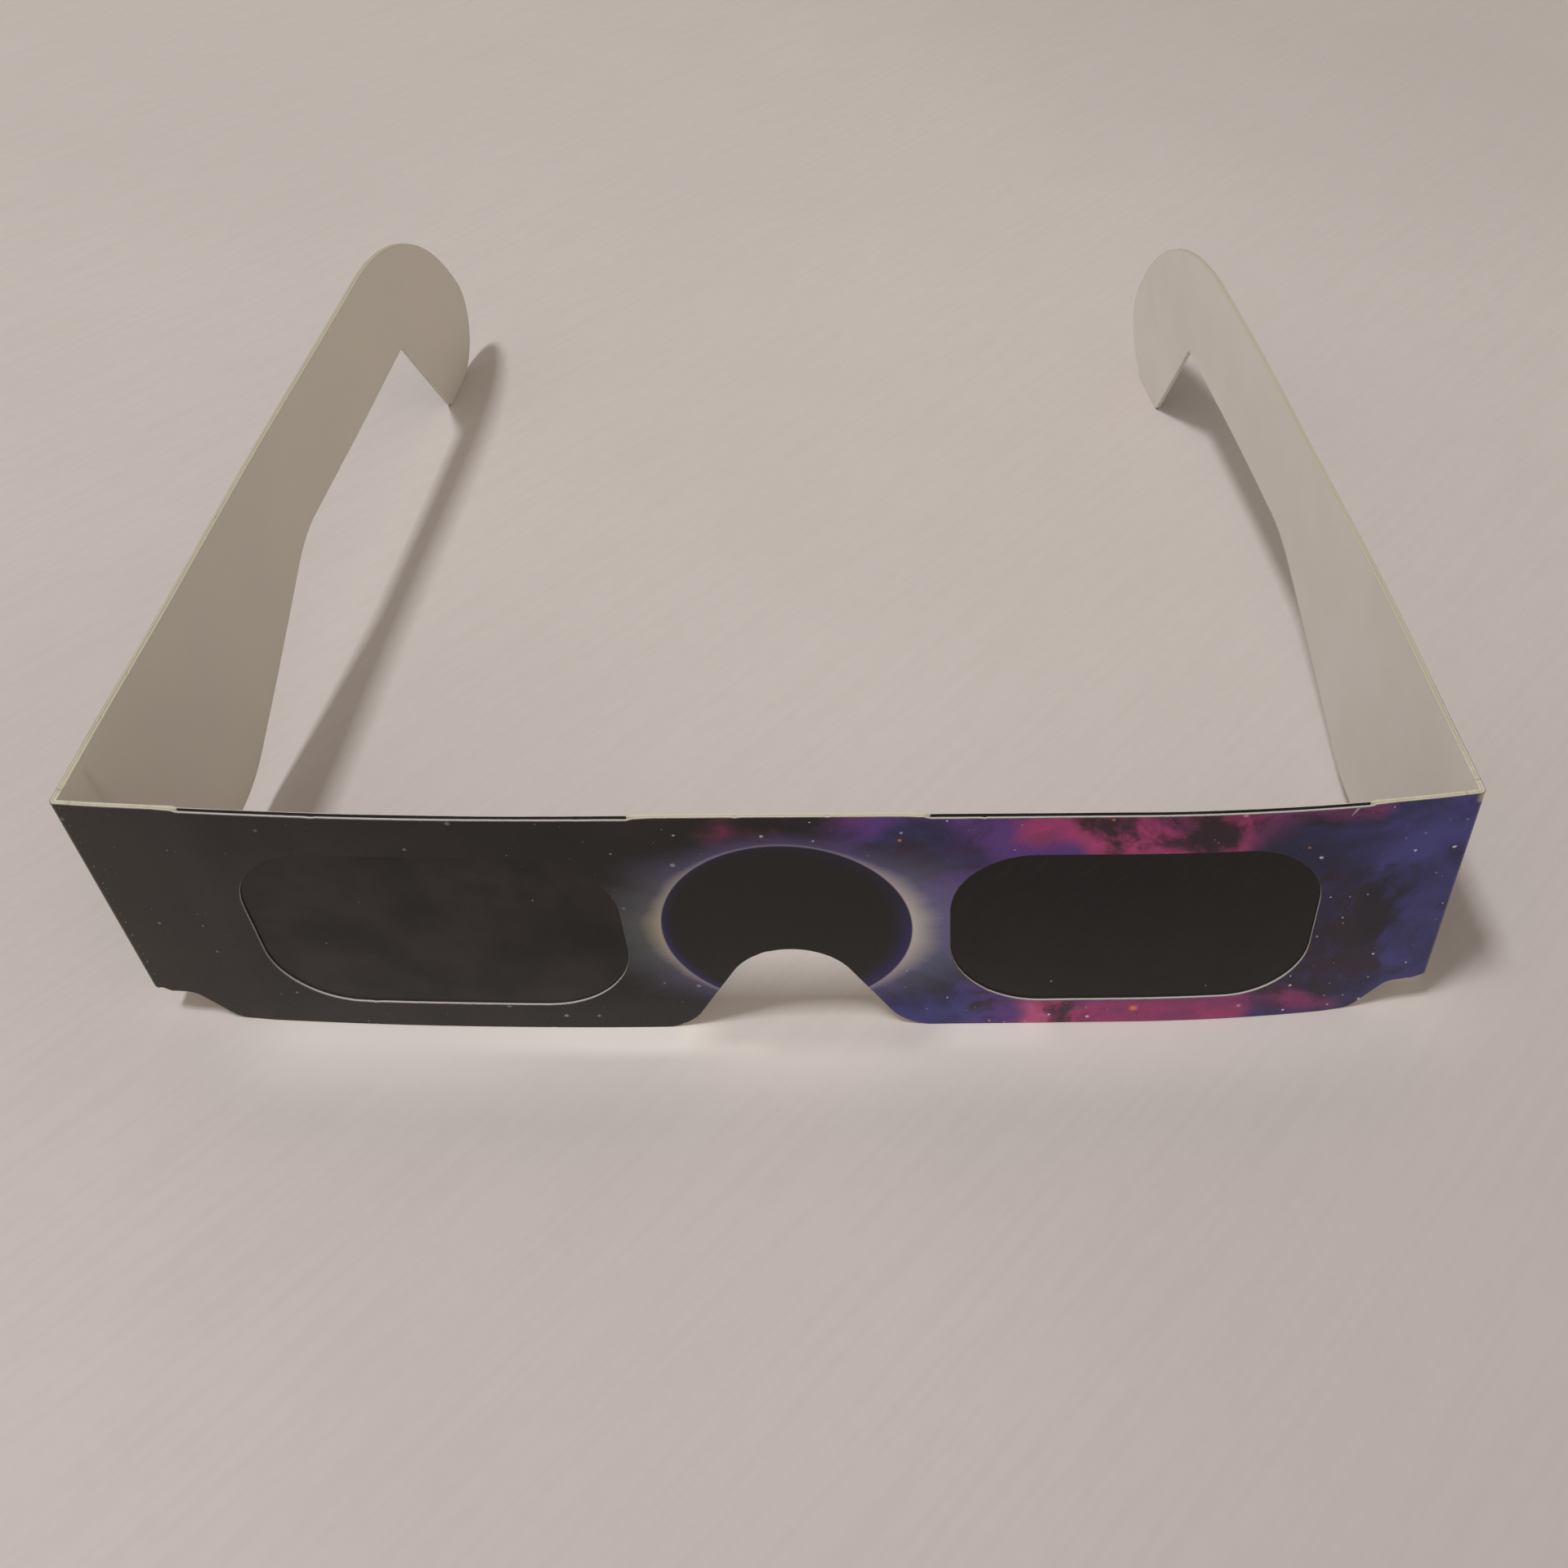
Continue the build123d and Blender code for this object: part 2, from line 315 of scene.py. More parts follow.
def lower_edge(depth):
    """The panel's lower edge, from the seam of the right fold strip to that of the left one."""
    flank = math.radians(NOSE_FLANK_ANGLE)
    notch_apex = NOSE_HEIGHT + NOSE_RADIUS * (1 / math.sin(flank) - 1)
    notch_foot = notch_apex * math.tan(flank)
    right = [
        ((HALF_WIDTH, CORNER_RISE), 0),
        ((HALF_WIDTH - STEP_TOP, CORNER_RISE), STEP_TOP_RADIUS),
        ((HALF_WIDTH - STEP_FOOT, 0), STEP_FOOT_RADIUS),
        ((notch_foot, 0), NOSE_FOOT_RADIUS),
    ]
    left = [((-x, z), radius) for (x, z), radius in reversed(right)]
    outline = rounded(right + [((0, notch_apex), NOSE_RADIUS)] + left, closed=False)
    low, high = PANEL_SEAMS
    return [(min(max(along_panel(x, depth), low), high), z) for x, z in outline]


def panel_outline(depth):
    """The panel's cards as they are cut, a little lower at the top where a film shows."""
    low, high = PANEL_SEAMS
    outline = np.array(divided(lower_edge(depth) + [(low, PANEL_HEIGHT), (high, PANEL_HEIGHT)]))
    top = outline[:, 1] > PANEL_HEIGHT - TOLERANCE
    outline[top, 1] -= FILM_STANDS * over_film(outline[top, 0], TOP_EASE)
    return outline


def along_panel(x, depth):
    return CURLS["left" if x < 0 else "right"].along(x, depth)


def window_outline(side, depth):
    near, far = WINDOW_INSET, WINDOW_INSET + WINDOW_WIDTH
    low, high = WINDOW_SILL, PANEL_HEIGHT - WINDOW_BROW
    outline = rounded([
        ((near, low), WINDOW_NOSE_RADIUS), ((far, low), WINDOW_CHEEK_RADIUS),
        ((far, high), WINDOW_UPPER_RADIUS), ((near, high), WINDOW_UPPER_RADIUS)], closed=True)
    return divided([(along_panel(side * x, depth), z) for x, z in outline])


def film_rectangle(name, depth):
    """The film's left and right ends along the sheet, and its lower edge, read from the frame."""
    low, high = (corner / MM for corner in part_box(f"{name}_filter_film"))
    return along_panel(low.x, depth), along_panel(high.x, depth), low.z


def over_film(s, reach):
    """1 where a film lies between the plies, falling to 0 beyond its ends."""
    cover = np.zeros(len(s))
    for name in SIDE:
        left, right, _ = film_rectangle(name, CARD)
        cover = np.maximum(cover, 1 - eased(np.maximum(left - s, s - right) / reach))
    return cover


def pressed(s, depth):
    """How far the plies are squeezed together, from their spacing in the frame."""
    gap = GLUE_LINE + (FILM_GAP - GLUE_LINE) * over_film(s, PRESS_EASE)
    return (gap - FILM) * np.clip((depth - CARD) / FILM, 0, 1)


def film_outline(name, depth):
    left, right, low = film_rectangle(name, depth)
    return divided([(left, low), (right, low), (right, PANEL_HEIGHT), (left, PANEL_HEIGHT)])


def glue_outline(depth):
    """The panel without its films, which lie in two bays that are open at the top."""
    bays = []
    for name in SIDE:
        left, right, low = film_rectangle(name, depth)
        bays += [(left, PANEL_HEIGHT), (left, low), (right, low), (right, PANEL_HEIGHT)]
    low, high = PANEL_SEAMS
    return divided(lower_edge(depth) + [(low, PANEL_HEIGHT)] + bays + [(high, PANEL_HEIGHT)])


def temple_outline(name):
    """A temple as it is cut, from the seam of its fold strip to the back of the hook."""
    turn = math.radians(HOOK_TURN_ANGLE)
    heel_radius = (PANEL_HEIGHT - HOOK_RADIUS * (1 - math.cos(turn))) / (1 + math.cos(turn))
    hook_start = TEMPLE_REACH - HOOK_RADIUS * math.sin(turn) - heel_radius * (1 - math.sin(turn))
    heel_middle = (TEMPLE_REACH - heel_radius, heel_radius)
    arm = PANEL_HEIGHT - ARM_DEPTH
    crown = turned((hook_start, PANEL_HEIGHT - HOOK_RADIUS), HOOK_RADIUS, 90, -HOOK_TURN_ANGLE)
    heel = turned(heel_middle, heel_radius, 90 - HOOK_TURN_ANGLE, HOOK_TURN_ANGLE - 180)
    lower = rounded([
        (heel[-1], 0), ((TEMPLE_REACH - HOOK_TOE, 0), HOOK_TOE_RADIUS),
        ((TEMPLE_REACH - EAR_NOTCH, arm), EAR_NOTCH_RADIUS), ((FLARE_END, arm), FLARE_RADIUS),
        ((FLARE_START, CORNER_RISE), FLARE_RADIUS), ((SEAM, CORNER_RISE), 0)], closed=False)
    outline = [(SEAM, PANEL_HEIGHT)] + crown + heel[1:] + lower[1:]
    temple = TEMPLES[name]
    stretch = temple.length / TEMPLE_REACH
    return divided([(temple.side * (temple.fold_s + max(u * stretch, SEAM)), z) for u, z in outline])


def signed_area(loop):
    x, z = loop[:, 0], loop[:, 1]
    return 0.5 * float(np.sum(x * np.roll(z, -1) - np.roll(x, -1) * z))


def inward(loop, hole):
    """Unit vectors from each point of a loop into the sheet, longer at sharp corners."""
    ahead = np.roll(loop, -1, 0) - loop
    ahead /= np.linalg.norm(ahead, axis=1)[:, None]
    normal = np.stack([-ahead[:, 1], ahead[:, 0]], 1)
    both = normal + np.roll(normal, 1, 0)
    both /= np.maximum((both * normal).sum(1), 0.5)[:, None]
    return both * (1 if (signed_area(loop) > 0) != hole else -1)


def inside(points, loop):
    """Which points lie inside a loop."""
    x, z = points[:, 0:1], points[:, 1:2]
    ax, az = loop[:, 0], loop[:, 1]
    bx, bz = np.roll(ax, -1), np.roll(az, -1)
    crosses = (az > z) != (bz > z)
    with np.errstate(divide="ignore", invalid="ignore"):
        at = ax + (z - az) * (bx - ax) / (bz - az)
    return (crosses & (x < at)).sum(1) % 2 == 1


def edge_distance(points, loops):
    """Distance from each point to the nearest point of the loops, which are finely divided."""
    edges = np.concatenate(loops)
    far = np.full(len(points), 1e9)
    for start in range(0, len(points), BATCH):
        part = points[start:start + BATCH]
        gap = np.sqrt(((part[:, None] - edges[None]) ** 2).sum(2))
        far[start:start + BATCH] = gap.min(1)
    return far


def uneven(s, z, scales, seed):
    """Smooth noise, mostly from -1 to 1, at places on the flat sheet."""
    along, up = scales
    return np.array([noise.noise(Vector((a * along, b * up, seed))) for a, b in zip(s, z)])


def wear(loop, seed):
    """How far each point of a cut edge is pressed or torn inwards."""
    s, z = loop[:, 0], loop[:, 1]
    fibre = 0.5 + uneven(s, z, (1.9, 1.9), seed)
    slow = 0.5 + uneven(s, z, (0.13, 0.13), seed + 7)
    nick = np.maximum(0.0, uneven(s, z, (0.9, 0.9), seed + 3) - 0.5) * 0.5
    return np.clip(FIBRE_WEAR * fibre + SLOW_WEAR * slow + nick, 0.0, WEAR_LIMIT)


def ring_faces(upper, lower, size):
    """Faces between two rings of points, which start at the points upper and lower."""
    pairs = [(i, (i + 1) % size) for i in range(size)]
    return [(upper + i, lower + i, lower + j, upper + j) for i, j in pairs]


class Sheet:
    """One ply: a flat outline with holes, meshed flat, thickened and bent to its place."""

    def __init__(self, name, loops, ply, place, wave, seams, soft_edge, seed):
        self.name = name
        self.near, self.far = ply
        self.place = place
        self.seams = seams
        self.soft_edge = soft_edge
        self.wave = wave
        self.loops = []
        self.insets = []
        for i, loop in enumerate(loops):
            loop = np.array(loop)
            into = inward(loop, hole=i > 0)
            free = ~self.on_seam(loop)
            loop = loop + into * (wear(loop, seed) * free)[:, None]
            self.loops.append(loop)
            self.insets.append(loop + into * (soft_edge * free)[:, None])

    def on_seam(self, points):
        """Which points lie where the sheet meets a fold strip."""
        found = np.zeros(len(points), bool)
        for seam in self.seams:
            found |= abs(points[:, 0] - seam) < SEAM_TOLERANCE
        return found

    def covers(self, points):
        """Which points lie between the inset loops."""
        kept = inside(points, self.insets[0])
        for hole in self.insets[1:]:
            kept &= ~inside(points, hole)
        return kept

    def flat_mesh(self):
        """Triangles over the flat sheet, between the inset loops."""
        band = [loop[::2] + inward(loop, hole=i > 0)[::2] * BAND for i, loop in enumerate(self.insets)]
        low, high = self.loops[0].min(0), self.loops[0].max(0)
        columns = np.arange(low[0] + GRID / 2, high[0], GRID)
        rows = np.arange(low[1] + GRID / 2, high[1], GRID)
        grid = np.stack(np.meshgrid(columns, rows), -1).reshape(-1, 2)
        free = np.concatenate([np.concatenate(band), grid])
        gap = edge_distance(free, self.insets)
        is_band = np.arange(len(free)) < sum(map(len, band))
        clear = np.where(is_band, gap > BAND_CLEAR_SHARE * BAND, gap > BAND + GRID_CLEAR_SHARE * GRID)
        free = free[self.covers(free) & clear]
        points = np.concatenate(self.insets + [free])
        edges = []
        start = 0
        for loop in self.insets:
            count = len(loop)
            edges += [(start + i, start + (i + 1) % count) for i in range(count)]
            start += count
        verts, _, faces, origin, _, _ = delaunay_2d_cdt([Vector(p) for p in points], edges, [], 0, TOLERANCE)
        if len(verts) != len(points):
            raise RuntimeError(f"{self.name}: the outline crosses itself")
        order = np.array([ids[0] for ids in origin])
        faces = order[np.array([list(f) for f in faces])]
        return points, faces[self.covers(points[faces].mean(1))]

    def solid(self, to_object):
        """The closed mesh. to_object takes its points, faces and what each face shows."""
        points, faces = self.flat_mesh()
        count = len(points)
        far, near = self.far, self.near
        flat = [points, points]
        depth = [np.full(count, far), np.full(count, near)]
        solid_faces = [tuple(f) for f in faces] + [tuple(int(i) + count for i in f[::-1]) for f in faces]
        kinds = ["far"] * len(faces) + ["near"] * len(faces)
        base, start = 2 * count, 0
        for loop in self.loops:
            size = len(loop)
            rise = np.where(self.on_seam(loop), 0.0, self.soft_edge)
            flat += [loop, loop]
            depth += [far - rise, near + rise]
            rings = [start, base, base + size, start + count]
            for upper, lower in zip(rings, rings[1:]):
                solid_faces += ring_faces(upper, lower, size)
                kinds += ["edge"] * size
            base += 2 * size
            start += size
        flat = np.concatenate(flat)
        depth = np.concatenate(depth)
        s, z = flat[:, 0], flat[:, 1]
        placed = self.place(s, z, depth + self.wave(s, z) + pressed(s, depth))
        distance = np.minimum(edge_distance(flat, self.loops), EDGE_REACH)
        return to_object(self.name, placed, np.column_stack([flat, distance, depth]), solid_faces, kinds)


class FoldStrip:
    """One ply of the strip that bends at a fold: a closed profile carried round the corner."""

    def __init__(self, name, side_name, ply):
        self.name = name
        self.side = SIDE[side_name]
        self.curl = CURLS[side_name]
        self.temple = TEMPLES[side_name]
        self.ply = ply
        self.start = -math.pi / 2 + self.side * self.curl.turn
        self.sweep = (self.temple.normal_angle() - self.start + math.pi) % (2 * math.pi) - math.pi

    def stations(self):
        """(sheet, distance along it) or ("wedge", direction from the fold line), round the corner."""
        steps = [SEAM * i / SEAM_STEPS for i in range(SEAM_STEPS + 1)]
        length = self.curl.length
        panel = [("panel", length - d) for d in reversed(steps)]
        wedge = [("wedge", self.start + self.sweep * i / WEDGE_STEPS) for i in range(1, WEDGE_STEPS)]
        return panel + wedge + [("temple", length + d) for d in steps]

    def along(self, station, depth):
        """Where a station's points lie on the flat sheet, spread evenly round the corner."""
        kind, value = station
        corner = np.maximum(depth, FOLD_CORE) * self.sweep
        if kind == "panel":
            run = np.full(len(depth), SEAM - (self.curl.length - value))
        elif kind == "wedge":
            run = SEAM + corner * (value - self.start) / self.sweep
        else:
            run = SEAM + corner + (value - self.curl.length)
        return self.side * (self.curl.length - SEAM + 2 * SEAM * run / (2 * SEAM + corner))

    def at(self, station, z, depth):
        """Places a station's points in the frame."""
        kind, value = station
        if kind == "wedge":
            reach = np.maximum(depth, FOLD_CORE)
            fold = self.temple.fold
            return np.column_stack([fold[0] + reach * math.cos(value), fold[1] + reach * math.sin(value), z])
        place = panel_place if kind == "panel" else self.temple.place
        return place(np.full(len(z), self.side * value), z, depth)

    def solid(self, to_object):
        """The closed mesh, made by to_object as for a sheet."""
        near, far = self.ply
        low, high = CORNER_RISE, PANEL_HEIGHT
        bevel = CARD_BEVEL
        rows = np.linspace(low + bevel, high - bevel, STRIP_ROWS)
        count = len(rows)
        z = np.concatenate([rows, [high, high], rows[::-1], [low, low]])
        nominal = np.concatenate([
            np.full(count, far), [far - bevel, near + bevel],
            np.full(count, near), [near + bevel, far - bevel]])
        depth = nominal + pressed(np.full(len(z), self.side * self.curl.length), nominal)
        ring_kinds = ["far"] * (count - 1) + ["edge"] * 3 + ["near"] * (count - 1) + ["edge"] * 3
        stations = self.stations()
        size = len(z)
        placed, sheet, faces, kinds = [], [], [], []
        for k, station in enumerate(stations):
            along = self.along(station, depth)
            past = (abs(along) - self.curl.length) / SEAM
            clip = eased(np.where(past < 0, 1 + past, (1 - past) / CLIP_TAIL_SHARE))
            cut = z + FOLD_CLIP * clip * (high - z) / (high - low)
            placed.append(self.at(station, cut, depth))
            sheet.append(np.column_stack([along, z, np.minimum(high - z, z - low), nominal]))
            if k:
                faces += ring_faces((k - 1) * size, k * size, size)
                kinds += ring_kinds
        caps = [(i, i + 1, 2 * count - i, 2 * count + 1 - i) for i in range(count - 1)]
        caps += [(count - 1, count, count + 1, count + 2), (2 * count + 1, 2 * count + 2, 2 * count + 3, 0)]
        for ring in (0, (len(stations) - 1) * size):
            faces += [tuple(ring + i for i in cap) for cap in caps]
            kinds += ["edge"] * len(caps)
        return to_object(self.name, np.concatenate(placed), np.concatenate(sheet), faces, kinds)


class Nodes:
    """Short calls that add linked nodes to one material or world."""

    def __init__(self, name, kind="materials"):
        self.owner = getattr(bpy.data, kind).new(name)
        self.owner.use_nodes = True
        self.tree = self.owner.node_tree

    def add(self, kind, *values, output=0, **settings):
        node = self.tree.nodes.new("ShaderNode" + kind)
        for name, value in settings.items():
            setattr(node, name, value)
        sockets = [s for s in node.inputs if not s.is_unavailable]
        for socket, value in zip(sockets, values):
            self.give(socket, value)
        return node.outputs[output]

    def give(self, socket, value):
        if isinstance(value, bpy.types.NodeSocket):
            self.tree.links.new(value, socket)
        elif value is not None:
            socket.default_value = value

    def math(self, operation, a, b=None, c=None, clamp=False):
        return self.add("Math", a, b, c, operation=operation, use_clamp=clamp)

    def smooth(self, value, low, high, start=0.0, end=1.0):
        return self.add("MapRange", value, low, high, start, end, interpolation_type="SMOOTHSTEP")

    def plus(self, a, b, clamp=False):
        return self.math("ADD", a, b, clamp=clamp)

    def minus(self, a, b):
        return self.math("SUBTRACT", a, b)

    def times(self, a, b, clamp=False):
        return self.math("MULTIPLY", a, b, clamp=clamp)

    def apart(self, a, b):
        return self.math("ABSOLUTE", self.minus(a, b))

    def noise(self, vector, scale, detail, rough, output=0):
        return self.add("TexNoise", vector, scale, detail, rough, output=output)

    def cells(self, vector, scale, output=0):
        return self.add("TexVoronoi", vector, scale, voronoi_dimensions="2D", output=output)

    def vector(self, operation, a, b=None, output=0):
        return self.add("VectorMath", a, b, operation=operation, output=output)

    def moved(self, vector, offset):
        return self.vector("ADD", vector, offset)

    def turned(self, vector, angle, scale):
        """The vector turned about z by an angle in degrees, and then scaled."""
        turn = self.add("Mapping", vector, (0, 0, 0), (0, 0, math.radians(angle)), (1, 1, 1))
        return self.vector("MULTIPLY", turn, scale)

    def parts(self, kind, value):
        node = self.tree.nodes.new("ShaderNodeSeparate" + kind)
        self.tree.links.new(value, node.inputs[0])
        return node.outputs

    def fade(self, distance, reach, power):
        """1 where the distance is 0, falling to 0 at the reach."""
        left = self.math("SUBTRACT", 1.0, self.math("DIVIDE", distance, reach), clamp=True)
        return self.math("POWER", left, power)

    def line_distance(self, place, start, end):
        """Distance from a straight mark on the flat sheet."""
        run = Vector(end).to_3d() - Vector(start).to_3d()
        reach = self.moved(place, (-start[0], -start[1], 0.0))
        along = self.vector("DOT_PRODUCT", reach, tuple(run / run.length_squared), output=1)
        share = self.plus(along, 0.0, clamp=True)
        nearest = self.add("VectorMath", tuple(run), share, operation="SCALE")
        return self.vector("DISTANCE", reach, nearest, output=1)

    def mix(self, factor, a, b):
        """A blend of a and b, which are linked values or colours as linear() takes them."""
        node = self.tree.nodes.new("ShaderNodeMix")
        node.data_type = "RGBA"
        self.give(node.inputs[0], factor)
        for socket, value in zip(node.inputs[6:8], (a, b)):
            self.give(socket, linear(*value) if isinstance(value, tuple) else value)
        return node.outputs[2]

    def sheet(self):
        """(place on the flat sheet as a vector, s, z, distance from the cut edge), in millimetres."""
        s, z, gap = self.parts("XYZ", self.add("Attribute", attribute_name="sheet", output=1))
        return self.add("CombineXYZ", s, z, 0.0), s, z, gap

    def finish(self, **inputs):
        shader = self.tree.nodes["Principled BSDF"]
        for name, value in inputs.items():
            self.give(shader.inputs[name.replace("_", " ").title().replace("Ior", "IOR")], value)
        return self.owner


def linear(red, green, blue):
    """A colour written as 0 to 255 display values."""
    def channel(value):
        value /= 255
        return value / 12.92 if value <= 0.04045 else ((value + 0.055) / 1.055) ** 2.4
    return (channel(red), channel(green), channel(blue), 1.0)


def card_grain(n, place):
    """The fine specks of coated or plain card."""
    return n.noise(place, 2.6, 6.0, 0.62)


def fold_distance(n, s):
    """Distance along the sheet from the nearer fold."""
    return n.math("MINIMUM", *[n.apart(s, curl.side * curl.length) for curl in CURLS.values()])


def make_plain_card():
    """Uncoated white card on the inner side."""
    n = Nodes("plain_card")
    place, s, z, gap = n.sheet()
    grain = card_grain(n, place)
    fibre = n.noise(n.add("Mapping", place, (0, 0, 0), (0, 0, 0.4), (0.7, 3.0, 1.0)), 1.4, 4.0, 0.6)
    # painted shade: the card a little darker and yellower on the left than on the right, as the light falls
    # on each side
    tone = n.mix(n.smooth(s, -80.0, 80.0), (214, 206, 194), (216, 209, 203))
    tone = n.mix(n.smooth(n.noise(place, 0.07, 3.0, 0.55), 0.3, 0.7), tone, (211, 204, 195))
    tone = n.mix(n.smooth(grain, 0.35, 0.7, 0.0, 0.1), tone, (194, 186, 174))
    tone = n.mix(n.smooth(fibre, 0.62, 0.8, 0.0, 0.1), tone, (232, 228, 220))
    tone = n.mix(n.smooth(gap, 0.0, 0.5, 0.2, 0.0), tone, (190, 180, 160))
    # painted shade: the crease of a dent, drawn as a faint darker line
    dent_shade = n.line_distance(place, *[(s_past - CURLS["left"].length, up) for s_past, up in DENT_SHADE])
    tone = n.mix(n.fade(dent_shade, n.smooth(z, 25.0, 33.0, 2.4, 0.9), 1.5), tone, (199, 192, 180))
    return n.finish(base_color=tone, roughness=n.smooth(grain, 0.2, 0.8, 0.78, 0.9))


def edge_tone(n, s, z, fleck):
    """The fibres of cut card: cream, but whiter beside the films and greyer along the temples, with painted
    light on the arms' lower edges, which face down.
    """
    out = n.math("ABSOLUTE", s)
    tone = n.mix(n.smooth(fleck, 0.3, 0.72), (178, 170, 150), (194, 187, 169))
    near, far = FILM_SPAN
    tone = n.mix(n.smooth(out, near + TOP_EASE, 13.0, 0.0, 0.8), tone, (196, 187, 172))
    beside = n.smooth(out, near - TOP_EASE, near + TOP_EASE)
    beside = n.times(beside, n.smooth(out, far + TOP_EASE, far - TOP_EASE))
    tone = n.mix(n.times(beside, 0.85), tone, (190, 181, 178))
    tone = n.mix(n.smooth(out, CORNER_END, ARM_START, 0.0, 0.85), tone, (176, 168, 150))
    # painted light: the arms' lower cut edges, which face down into shade, made paler
    low = n.times(n.smooth(out, ARM_START, ARM_PALE), n.smooth(z, 20.0, 18.5))
    return n.mix(n.times(low, 0.9), tone, (216, 209, 200))


def make_cut_edge():
    """The cut edges of card, whose printed side is dark where the ink reaches over."""
    n = Nodes("cut_edge")
    place, s, z, _ = n.sheet()
    fleck = n.noise(place, 3.2, 5.0, 0.7)
    tone = edge_tone(n, s, z, fleck)
    depth = n.add("Attribute", attribute_name="depth", output=2)
    ragged = n.plus(depth, n.smooth(fleck, 0.3, 0.7, -0.02, 0.02))
    printed = n.math("GREATER_THAN", ragged, LAMINATE - INK_LIP)
    inked = n.times(printed, n.smooth(n.math("ABSOLUTE", s), ARM_PALE, ARM_START, 0.35, 0.8))
    tone = n.mix(inked, tone, (44, 38, 44))
    return n.finish(base_color=tone, roughness=0.88)


def make_glue():
    """The glue line, stained a little darker than the card."""
    n = Nodes("glue_line")
    place, s, z, _ = n.sheet()
    fleck = n.noise(place, 1.6, 4.0, 0.6)
    tone = edge_tone(n, s, z, fleck)
    tone = n.mix(n.smooth(fleck, 0.35, 0.65, 0.0, 0.3), tone, (160, 150, 128))
    return n.finish(base_color=tone, roughness=0.7)


def make_film():
    """Dark filter film: smooth, with faint streaks and dust."""
    n = Nodes("filter_film")
    place, s, z, _ = n.sheet()
    streak = n.noise(n.turned(place, -55.0, (0.25, 2.2, 1.0)), 0.9, 3.0, 0.6)
    cloud = n.noise(place, 0.11, 3.0, 0.6)
    cell = n.cells(place, 0.13)
    pick = n.cells(place, 0.13, output=1)
    near = n.math("LESS_THAN", cell, n.times(n.math("POWER", pick, 4.0), 0.03))
    # painted sheen: the left film paler than the right, and the right one paler low down than at its top
    right = n.mix(n.smooth(z, 8.0, 26.0), (20, 16, 15), (3, 2, 2))
    pale = n.mix(n.smooth(s, -30.0, 20.0), (40, 33, 31), right)
    tone = n.mix(n.smooth(cloud, 0.36, 0.66, 0.0, 0.85), pale, (5, 4, 4))
    tone = n.mix(n.smooth(streak, 0.46, 0.7, 0.0, 0.4), tone, (30, 26, 26))
    tone = n.mix(n.times(near, 0.7), tone, (170, 165, 156))
    rough = n.smooth(streak, 0.2, 0.8, 0.18, 0.26)
    return n.finish(base_color=tone, roughness=rough, specular_ior_level=0.3)


def make_film_edge():
    """The cut edge of a film, which is duller than its faces."""
    n = Nodes("film_edge")
    fleck = n.noise(n.sheet()[0], 2.8, 4.0, 0.6)
    tone = n.mix(n.smooth(fleck, 0.3, 0.7), (12, 9, 8), (20, 15, 14))
    rough = n.smooth(fleck, 0.3, 0.7, 0.75, 0.85)
    return n.finish(base_color=tone, roughness=rough, specular_ior_level=0.2)


def stars(n, place, scale, share, size, seed):
    """A field of small bright points of uneven size."""
    moved = n.moved(place, (seed, seed * 0.37, 0.0))
    distance = n.cells(moved, scale)
    picks = n.parts("Color", n.cells(moved, scale, output=1))
    chosen = n.math("GREATER_THAN", picks[0], 1.0 - share)
    reach = n.times(n.plus(n.math("POWER", picks[1], 3.0), 0.25), size * scale)
    light = n.times(n.fade(distance, reach, 0.7), chosen)
    return n.times(light, n.plus(picks[2], 0.35), clamp=True)


def night_sky(n, place, s):
    """Near black on the left, with clouds of rose, violet and blue that thicken to the right."""
    swirl = n.moved(n.noise(place, 0.045, 3.0, 0.5, output=1), (-0.5, -0.5, -0.5))
    warped = n.vector("ADD", place, n.vector("MULTIPLY", swirl, (17.0, 17.0, 0.0)))
    cloud = n.noise(n.moved(warped, (0.0, 0.0, 7.0)), 0.06, 8.0, 0.58)
    veil = n.noise(n.moved(warped, (31.0, 8.0, 9.0)), 0.06, 7.0, 0.6)
    dust = n.noise(n.moved(warped, (-12.0, 47.0, 6.0)), 0.085, 8.0, 0.62)
    hue = n.noise(n.moved(warped, (77.0, -9.0, 13.0)), 0.036, 2.0, 0.5)
    night = n.mix(n.smooth(cloud, 0.38, 0.7), (13, 9, 8), (33, 25, 26))
    grey = n.plus(s, n.times(veil, 40.0))
    night = n.mix(n.smooth(grey, -20.0, -62.0, 0.0, 0.8), night, (46, 39, 36))
    rose = n.mix(n.smooth(veil, 0.34, 0.54), (110, 48, 98), (166, 58, 112))
    rose = n.mix(n.smooth(veil, 0.52, 0.66, 0.0, 0.85), rose, (202, 102, 144))
    blue = n.mix(n.smooth(veil, 0.36, 0.62), (31, 29, 62), (64, 62, 128))
    mid = n.mix(n.smooth(hue, 0.49, 0.56), rose, (88, 52, 124))
    shift = n.smooth(s, 34.0, 56.0, -0.07, 0.22)
    nebula = n.mix(n.smooth(n.plus(hue, shift), 0.51, 0.58), mid, blue)
    murk = n.mix(n.smooth(cloud, 0.4, 0.6), (24, 18, 27), (44, 27, 40))
    nebula = n.mix(n.smooth(dust, 0.485, 0.61, 0.0, 0.92), nebula, murk)
    drift = n.plus(n.smooth(s, -28.0, 14.0, -0.34, 0.28), n.minus(cloud, 0.5))
    drift = n.plus(drift, n.smooth(s, 80.0, 160.0, 0.0, -0.3))
    return n.mix(n.smooth(drift, -0.06, 0.26), night, nebula)


